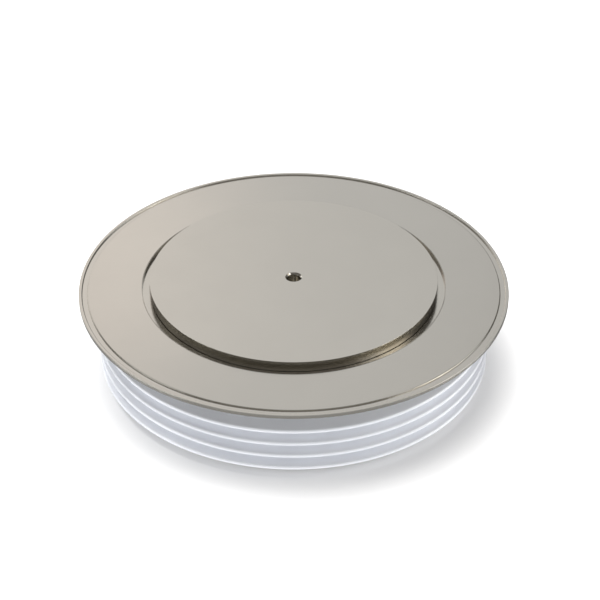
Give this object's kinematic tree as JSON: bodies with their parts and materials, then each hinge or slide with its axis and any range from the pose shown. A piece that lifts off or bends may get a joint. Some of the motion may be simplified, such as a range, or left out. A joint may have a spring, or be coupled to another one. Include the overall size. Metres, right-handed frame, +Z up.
{
  "type": "disc thyristor",
  "caption": "Flat press-pack power thyristor: ribbed white ceramic ring between nickel-plated pole faces, with a wide welded metal flange, locating holes and a gate terminal.",
  "frame": {"origin": "centre of the anode contact face, which the part stands on", "axes": "+Z up the axis to the cathode contact face; +Y to the gate terminal at the back; +X to the right"},
  "size_m": [0.11, 0.11, 0.026],
  "materials": {
    "pole_nickel": "satin nickel plate on copper",
    "sheet_nickel": "satin nickel plate on thin sheet",
    "white_glaze": "white glazed alumina",
    "tube_nickel": "nickel-iron tube, brazed",
    "tinned_brass": "tin plate on brass strip",
    "silver": "soft silver",
    "molybdenum": "lapped molybdenum",
    "silicon": "polished silicon",
    "silicone_rubber": "cured silicone rubber",
    "white_plastic": "white fluoropolymer",
    "spring_steel": "drawn spring wire"
  },
  "bodies": {
    "root": {"cathode_pole": "pole_nickel", "lid_flange": "sheet_nickel", "weld_flange": "sheet_nickel", "ceramic_ring": "white_glaze", "anode_flange": "sheet_nickel", "anode_pole": "pole_nickel", "gate_tube": "tube_nickel", "gate_tab": "tinned_brass", "aux_cathode_tab": "tinned_brass", "anode_foil": "silver", "anode_moly_disc": "molybdenum", "silicon_wafer": "silicon", "edge_seal": "silicone_rubber", "cathode_moly_disc": "molybdenum", "locating_ring": "white_plastic", "gate_pin": "silver", "gate_spring": "spring_steel", "gate_cup": "white_plastic", "gate_guide": "white_plastic", "gate_lead": "silver", "gate_sleeve": "white_plastic"}
  },
  "joints": []
}
